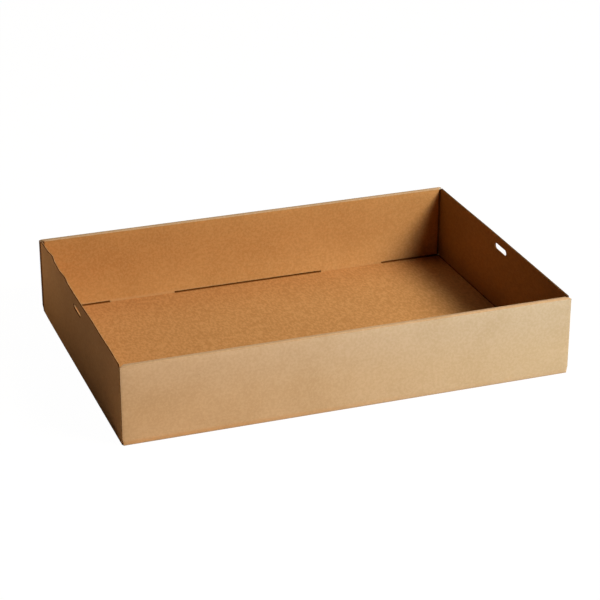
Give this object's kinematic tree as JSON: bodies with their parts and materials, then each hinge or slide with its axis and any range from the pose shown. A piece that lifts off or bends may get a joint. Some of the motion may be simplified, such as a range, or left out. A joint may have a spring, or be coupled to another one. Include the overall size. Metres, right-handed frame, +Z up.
{
  "type": "cardboard tray box",
  "caption": "Open low tray box folded from one sheet of corrugated board, with rolled-over long walls tabbed into the base and single end walls, each with a hand hole.",
  "frame": {"origin": "middle of the underside", "axes": "+X along the long walls, +Y from the front wall to the back wall, +Z up out of the open top"},
  "size_m": [0.455, 0.3198, 0.0815],
  "materials": {
    "kraft_board": "matte unbleached kraft liner with a fine fibre speckle"
  },
  "bodies": {
    "root": {"folded_tray": "kraft_board"}
  },
  "joints": []
}
